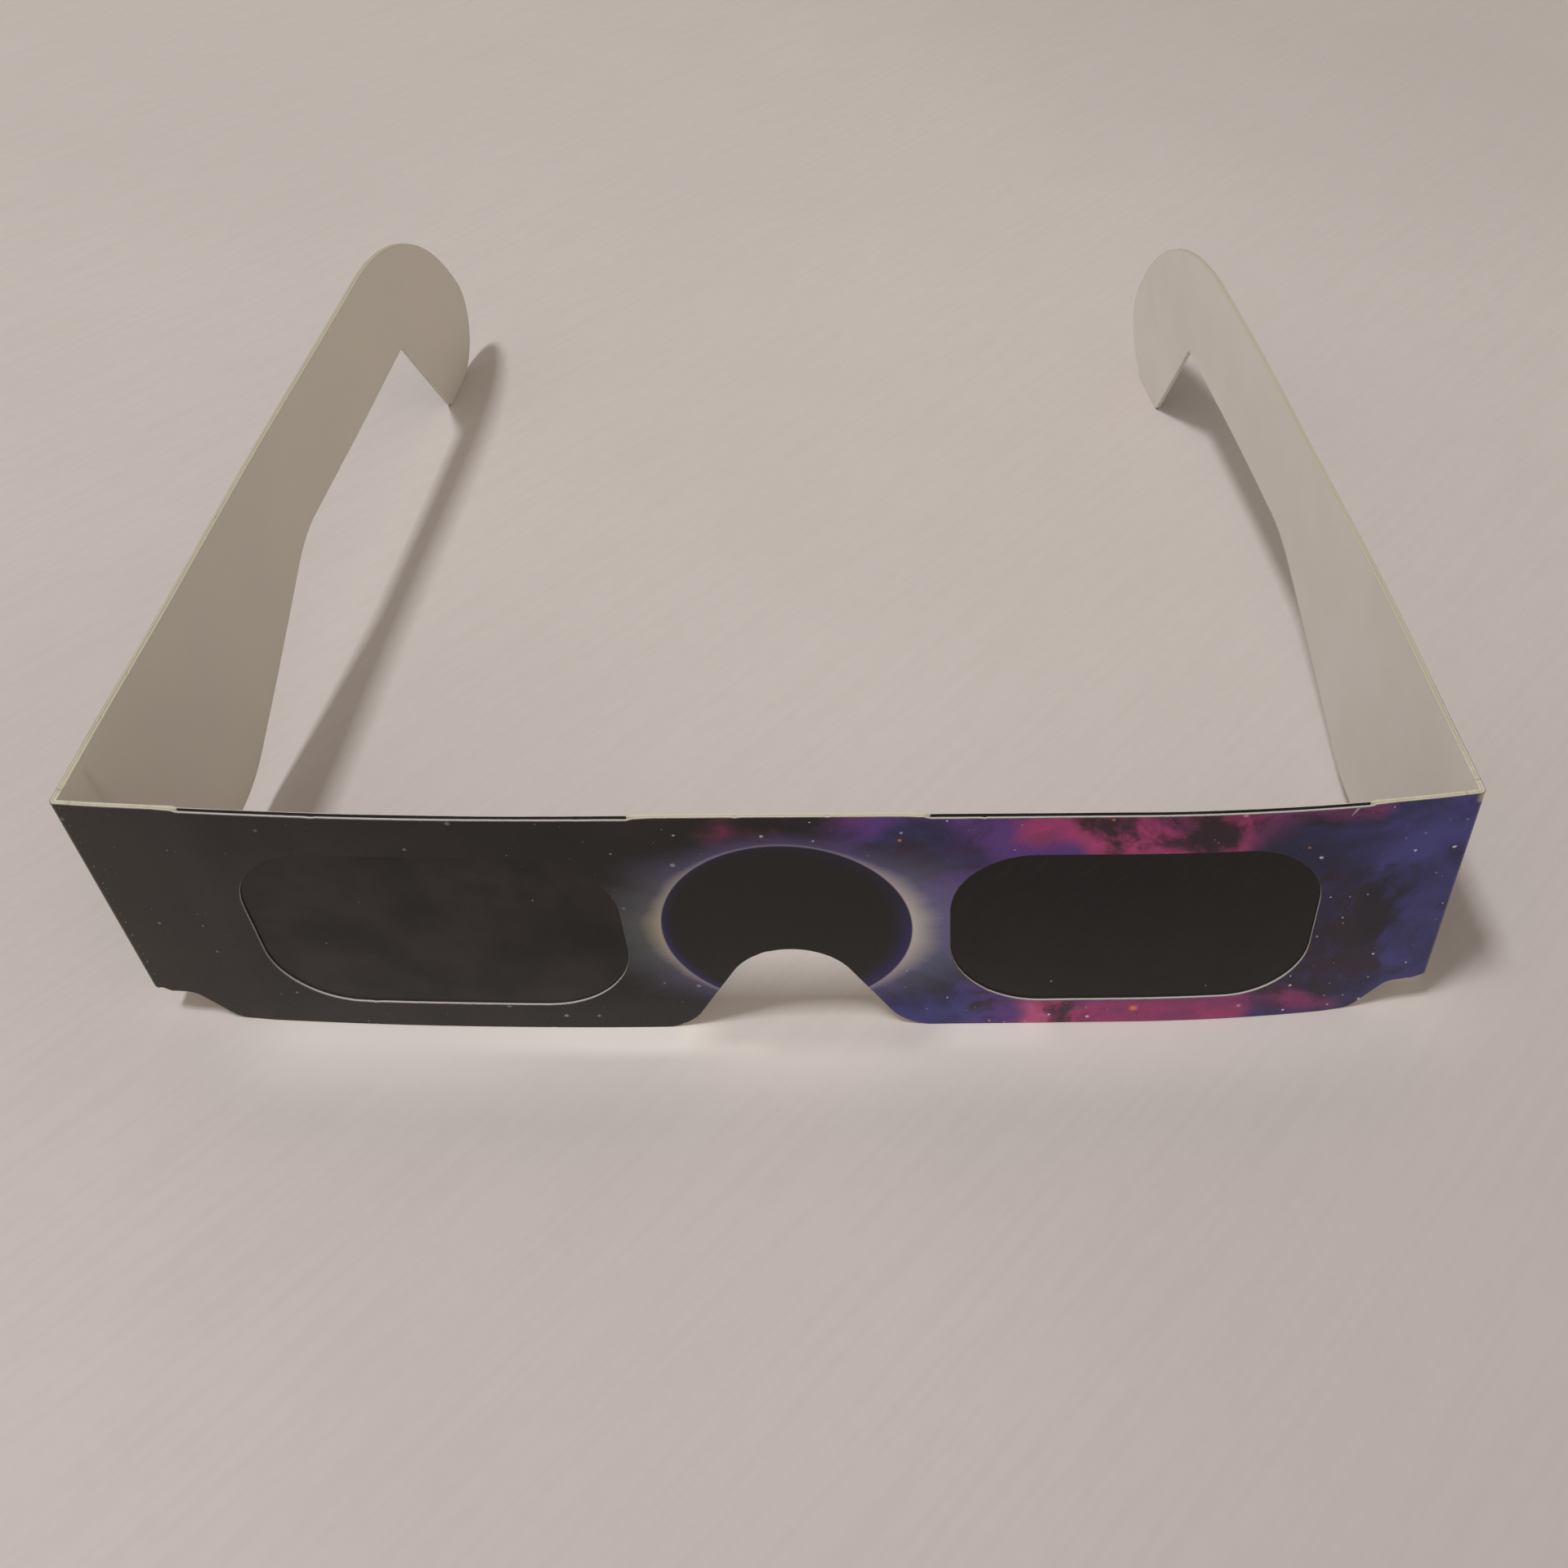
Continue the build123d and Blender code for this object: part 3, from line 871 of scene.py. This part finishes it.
def eclipsed(n, place, sky):
    """A dark disc whose thin bright rim widens into a glow on the left and the right."""
    spoke = n.moved(place, (-DISC_CENTRE[0], -DISC_CENTRE[1], 0.0))
    away = n.vector("LENGTH", spoke, output=1)
    outwards = n.vector("NORMALIZE", spoke)
    across, up, _ = n.parts("XYZ", outwards)
    flare = n.math("POWER", n.math("ABSOLUTE", across), 4.0)
    ray = n.times(flare, n.noise(outwards, 2.6, 4.0, 0.65))
    beyond = n.minus(away, DISC_RADIUS)
    to_right = n.smooth(across, -0.3, 0.3)
    spread = n.times(ray, n.smooth(across, -0.3, 0.3, 18.0, 25.0))
    haze = n.fade(beyond, n.plus(spread, 2.6), 1.6)
    haze_tone = n.mix(to_right, (98, 102, 104), (112, 120, 146))
    sky = n.mix(n.times(haze, 0.85), sky, n.mix(flare, (84, 74, 118), haze_tone))
    reach = n.times(ray, n.smooth(across, -0.3, 0.3, 3.6, 6.4))
    core = n.fade(beyond, n.plus(reach, 0.35), 1.4)
    core_tone = n.mix(to_right, (168, 158, 140), (200, 188, 178))
    sky = n.mix(n.times(core, 0.9), sky, n.mix(flare, (140, 130, 150), core_tone))
    inside_rim = n.fade(n.times(beyond, -1.0), n.smooth(across, -0.2, 0.6, 1.3, 2.6), 1.8)
    violet = n.times(inside_rim, n.smooth(up, 0.7, -0.3, 0.2, 0.9))
    disc = n.mix(violet, (12, 9, 9), (46, 36, 100))
    return n.mix(n.smooth(away, DISC_RADIUS + DISC_EDGE, DISC_RADIUS - DISC_EDGE), sky, disc)


def make_print():
    """The printed side: a night sky round a dark disc, with the card showing where the ink is worn."""
    n = Nodes("printed_card")
    place, s, z, gap = n.sheet()
    ink = night_sky(n, place, s)
    bright = n.smooth(s, -40.0, 20.0, 0.25, 1.0)
    for layer in STAR_LAYERS:
        ink = n.mix(n.times(stars(n, place, *layer), bright), ink, (226, 222, 230))
    halo = n.times(n.math("POWER", stars(n, place, *HALO_LAYER), 2.0), bright)
    ink = n.mix(n.times(halo, 0.9), ink, (220, 132, 80))
    ink = eclipsed(n, place, ink)
    grain = card_grain(n, place)
    speck = n.noise(n.moved(place, (5.0, 5.0, 0.0)), 2.2, 4.0, 0.7)
    worn = n.math("GREATER_THAN", n.plus(speck, n.smooth(gap, 0.0, 0.4, 0.2, -0.3)), WORN_ABOVE)
    rubbed = n.plus(speck, n.smooth(fold_distance(n, s), 0.1, 0.45, 0.16, -0.3))
    worn = n.math("MAXIMUM", worn, n.math("GREATER_THAN", rubbed, RUBBED_ABOVE))
    ink = n.mix(n.times(worn, 0.8), ink, (206, 200, 188))
    scratch = n.fade(n.line_distance(place, *SCRATCH), n.smooth(z, 33.0, 34.2, 0.1, 0.2), 0.6)
    scratch = n.times(scratch, n.smooth(speck, 0.3, 0.6, 0.25, 0.75))
    ink = n.mix(scratch, ink, (196, 184, 174))
    fold = CURLS["right"].length
    corner = n.line_distance(place, (fold, YELLOWED), (fold, PANEL_HEIGHT))
    ink = n.mix(n.fade(corner, 0.7, 1.2), ink, (200, 193, 154))
    ink = n.mix(n.smooth(grain, 0.3, 0.75, 0.0, 0.03), ink, (90, 84, 84))
    rough = n.smooth(grain, 0.2, 0.8, 0.25, 0.31)
    return n.finish(base_color=ink, roughness=rough, specular_ior_level=0.34)


PRINT, PLAIN, EDGE, GLUE = make_print(), make_plain_card(), make_cut_edge(), make_glue()
FILM_FACE, FILM_EDGE = make_film(), make_film_edge()
LOOKS = {
    "outer": {"far": PRINT, "near": PLAIN, "edge": EDGE},
    "inner": {"far": PLAIN, "near": PLAIN, "edge": EDGE},
    "glue": {"far": GLUE, "near": GLUE, "edge": GLUE},
    "film": {"far": FILM_FACE, "near": FILM_FACE, "edge": FILM_EDGE},
}
BEVELS = {"outer": CARD_BEVEL, "inner": CARD_BEVEL, "glue": GLUE_BEVEL, "film": FILM_BEVEL}
LAYERS = {
    "outer": ("outer_card", OUTER_PLY),
    "glue": ("glue_layer", MIDDLE_PLY),
    "inner": ("inner_card", INNER_PLY),
}


def add_object(name, data):
    thing = bpy.data.objects.new(name, data)
    bpy.context.scene.collection.objects.link(thing)
    return thing


def stand(thing, place, axes):
    """Puts an object at a place in metres, with its x, y and z along the axes."""
    thing.matrix_world = Matrix.Translation(place) @ Matrix(axes).transposed().to_4x4()


def object_maker(look):
    """A function that turns points and faces into an object with that layer's materials."""
    def make(name, placed, sheet, faces, kinds):
        mesh = bpy.data.meshes.new(name)
        mesh.from_pydata([tuple(p * MM) for p in placed], [], faces)
        order = list(dict.fromkeys(LOOKS[look].values()))
        for material in order:
            mesh.materials.append(material)
        mesh.polygons.foreach_set("material_index", [order.index(LOOKS[look][kind]) for kind in kinds])
        attribute = mesh.attributes.new("sheet", "FLOAT_VECTOR", "POINT")
        attribute.data.foreach_set("vector", sheet[:, :3].astype(np.float32).ravel())
        attribute = mesh.attributes.new("depth", "FLOAT", "POINT")
        attribute.data.foreach_set("value", sheet[:, 3].astype(np.float32))
        side = mesh.attributes.new("side", "INT", "FACE")
        side.data.foreach_set("value", [list(LOOKS[look]).index(kind) for kind in kinds])
        tidy_mesh(mesh)
        return add_object(name, mesh)
    return make


def tidy_mesh(mesh):
    """Joins doubled points, points all faces outwards and keeps the cut edges crisp."""
    bm = bmesh.new()
    bm.from_mesh(mesh)
    bmesh.ops.remove_doubles(bm, verts=bm.verts, dist=MERGE)
    bmesh.ops.dissolve_degenerate(bm, edges=bm.edges, dist=MERGE)
    bmesh.ops.recalc_face_normals(bm, faces=bm.faces)
    side = bm.faces.layers.int["side"]
    for face in bm.faces:
        face.smooth = True
    for edge in bm.edges:
        kinds = {face[side] for face in edge.link_faces}
        if len(kinds) > 1 and edge.calc_face_angle(0.0) > math.radians(CRISP_ANGLE):
            edge.smooth = False
    bm.to_mesh(mesh)
    bm.free()
    mesh.attributes.remove(mesh.attributes["side"])


def seam_fade(s):
    """0 at the seams beside the folds and 1 well away from them."""
    gap = np.minimum(abs(s + CURLS["left"].length), abs(s - CURLS["right"].length)) - SEAM
    return eased(gap / WAVE_EASE)


def panel_wave(s, z):
    """A slight unevenness of the panel, always inwards."""
    return (-PANEL_WAVE - PANEL_WAVE * uneven(s, z, (0.05, 0.04), 2.0)) * seam_fade(s)


def temple_wave(s, z):
    """Temples are a little more uneven, both ways."""
    return TEMPLE_WAVE * uneven(s, z, (0.035, 0.03), 9.0) * seam_fade(s)


def film_wave(s, z):
    """Film follows the panel and is slightly buckled besides."""
    return FILM_WAVE * uneven(s, z, (0.09, 0.09), 21.0) + panel_wave(s, z)


def add_sheet(node, body, look, loops, ply, place, wave, seams, seed):
    """One sheet as a piece that rides on a body and stands for a node."""
    sheet = Sheet(node + "_piece", loops, ply, place, wave, seams, BEVELS[look], seed)
    piece = sheet.solid(object_maker(look))
    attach(piece, body)
    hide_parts(node)


def make_panel():
    """The panel's plies, glue line and films."""
    for look in ("outer", "inner", "glue"):
        layer, ply = LAYERS[look]
        depth = ply[1]
        loops = [glue_outline(depth)]
        if look != "glue":
            loops = [panel_outline(depth)] + [window_outline(side, depth) for side in SIDE.values()]
        add_sheet("front_" + layer, "front", look, loops, ply, panel_place, panel_wave, PANEL_SEAMS,
                  ply[0] * 10)
    for name in SIDE:
        loops = [film_outline(name, MIDDLE_PLY[1])]
        add_sheet(f"{name}_filter_film", "front", "film", loops, MIDDLE_PLY, panel_place, film_wave, (),
                  FILM_SEED)


def make_temples():
    """Both plies and the glue line of each temple."""
    for name, temple in TEMPLES.items():
        seams = (temple.side * (temple.fold_s + SEAM),)
        for look, (layer, ply) in LAYERS.items():
            add_sheet(f"{name}_temple_{layer}", f"{name}_temple", look, [temple_outline(name)], ply,
                      temple.place, temple_wave, seams, TEMPLE_SEED + ply[0] * 10)


def make_folds():
    """The scored strips, which bend between the panel and a temple."""
    for name, side in SIDE.items():
        for look, (layer, ply) in LAYERS.items():
            node = f"{name}_fold_{layer}"
            piece = FoldStrip(node + "_piece", name, ply).solid(object_maker(look))
            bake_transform(piece)
            if look != "glue":
                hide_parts(node)


def make_camera():
    """The photograph's view, which was framed off the lens's middle."""
    yaw, pitch, roll = (math.radians(a) for a in (CAMERA_YAW, CAMERA_PITCH, CAMERA_ROLL))
    forward = Vector((math.sin(yaw) * math.cos(pitch), math.cos(yaw) * math.cos(pitch), -math.sin(pitch)))
    level = Vector((math.cos(yaw), -math.sin(yaw), 0.0))
    down = forward.cross(level)
    right = level * math.cos(roll) + down * math.sin(roll)
    up = level * math.sin(roll) - down * math.cos(roll)
    data = bpy.data.cameras.new("camera")
    data.sensor_width = SENSOR_WIDTH
    data.lens = SENSOR_WIDTH * FOCAL_PIXELS / IMAGE_WIDTH
    data.shift_x = -PRINCIPAL_OFFSET / IMAGE_WIDTH
    data.clip_start = CLIP_START
    data.clip_end = CLIP_END
    camera = add_object("camera", data)
    stand(camera, Vector(CAMERA_PLACE) * MM, (right, up, -forward))
    bpy.context.scene.camera = camera


def table_tone(n, place, x, y, fine, weave):
    """Near white, with painted shade darker at the right and painted light brighter far away, where the
    lamp's light falls off.
    """
    tone = n.mix(n.smooth(n.noise(place, 9.0, 4.0, 0.6), 0.3, 0.7), (191, 181, 176), (195, 185, 180))
    tone = n.mix(n.smooth(fine, 0.3, 0.7, 0.0, 0.12), tone, (180, 170, 165))
    tone = n.mix(n.smooth(weave, 0.4, 0.65, 0.0, 0.17), tone, (178, 169, 162))
    away = n.vector("LENGTH", place, output=1)
    shade = n.smooth(n.minus(x, y), 0.06, 0.26, 0.0, 0.42)
    shade = n.plus(shade, n.smooth(n.plus(x, y), 0.12, 0.34, 0.0, 0.2))
    tone = n.mix(n.times(shade, n.smooth(away, 0.45, 0.27)), tone, (150, 141, 136))
    return n.mix(n.smooth(away, 0.27, 1.3), tone, (250, 241, 235))


def before_panel(n, x, y):
    """How far a place on the table lies in front of the bowed panel's foot."""
    before = n.minus((FOLD_Y - PANEL_BULGE) * MM, y)
    for curl in CURLS.values():
        run = n.math("MAXIMUM", n.math("MULTIPLY_ADD", x, curl.side, -curl.flat * MM), 0.0)
        before = n.plus(before, n.times(n.math("POWER", run, 2.0), 0.5 / (curl.radius * MM)))
    return before


def thrown_light(n, x, before):
    """The light that the glossy panel throws down before itself, except below the nose opening."""
    level = n.plus(n.smooth(x, -0.045, -0.02, 0.62, 0.42), n.smooth(x, 0.03, 0.06, 0.0, -0.12))
    wide = n.times(n.smooth(before, *WIDE_BAND), level)
    streak = n.times(n.smooth(x, -0.045, -0.015, 0.1, 0.74), n.smooth(x, 0.0, -0.006))
    streak = n.plus(streak, n.smooth(n.apart(x, RIGHT_STREAK), 0.009, 0.003, 0.0, 0.25))
    narrow = n.times(n.smooth(before, *NARROW_BAND), streak)
    under_nose = n.smooth(n.apart(x, NOSE_GAP), 0.0165, 0.0085, 0.0, 0.95)
    under_nose = n.times(under_nose, n.smooth(before, 0.006, 0.0018))
    thrown = n.times(n.plus(wide, narrow), n.minus(1.0, under_nose))
    thrown = n.times(thrown, n.smooth(before, -0.0004, 0.0012))
    ends = n.times(n.smooth(x, -0.07, -0.052), n.smooth(x, 0.085, 0.055))
    return n.times(thrown, ends)


def make_floor():
    """A pale ribbed table. Its material works in metres."""
    n = Nodes("pale_table")
    place = n.add("TexCoord", output=3)
    x, y, _ = n.parts("XYZ", place)
    fine = n.noise(place, 420.0, 4.0, 0.6)
    weave = n.noise(n.turned(place, -50.0, (50.0, 900.0, 1.0)), 1.0, 2.0, 0.5)
    # painted light: a faint pool round the middle, and the light that the panel throws before itself
    lit = n.smooth(n.vector("DISTANCE", place, (0.0, 0.03, 0.0), output=1), 0.13, 0.04, 0.0, 0.07)
    lit = n.plus(thrown_light(n, x, before_panel(n, x, y)), lit, clamp=True)
    tone = n.mix(lit, table_tone(n, place, x, y, fine, weave), (228, 219, 212))
    mesh = bpy.data.meshes.new("table")
    corners = [(TABLE_REACH * a, TABLE_REACH * b, 0.0) for a, b in ((-1, -1), (1, -1), (1, 1), (-1, 1))]
    mesh.from_pydata(corners, [], [(0, 1, 2, 3)])
    mesh.materials.append(n.finish(base_color=tone, roughness=0.75))
    add_object("table", mesh)


def make_key():
    """A soft box to the front left of the object, high above it."""
    data = bpy.data.lights.new("key", "AREA")
    data.shape = "RECTANGLE"
    data.size, data.size_y = KEY_SIZE
    data.energy = KEY_STRENGTH * math.pi * KEY_AWAY ** 2
    data.color = KEY_COLOUR
    towards = Vector((-KEY_SHIFT[0], -KEY_SHIFT[1], 1.0)).normalized()
    across = Vector((1.0, 0.0, 0.0))
    across = (across - towards * across.dot(towards)).normalized()
    stand(add_object("key", data), towards * KEY_AWAY, (across, towards.cross(across), towards))


def make_room():
    """Warm light from all round, a little more of it from the front, and a plain wall where it is seen."""
    n = Nodes("room", "worlds")
    _, back, _ = n.parts("XYZ", n.add("TexCoord", output="Generated"))
    level = n.add("MapRange", back, -1.0, 1.0, AMBIENT * AMBIENT_FRONT, AMBIENT * AMBIENT_BACK)
    soft = n.tree.nodes["Background"]
    n.give(soft.inputs["Color"], ROOM_COLOUR)
    n.give(soft.inputs["Strength"], level)
    direct = 0.0
    for ray in ("Is Camera Ray", "Is Glossy Ray", "Is Transmission Ray"):
        direct = n.math("MAXIMUM", direct, n.add("LightPath", output=ray))
    choice = n.add("MixShader", direct, soft.outputs[0], n.add("Background", linear(*WALL)))
    n.give(n.tree.nodes["World Output"].inputs["Surface"], choice)
    bpy.context.scene.world = n.owner


make_camera()
make_panel()
make_temples()
make_folds()
make_floor()
make_key()
make_room()
bpy.context.scene.view_settings.view_transform = "Standard"
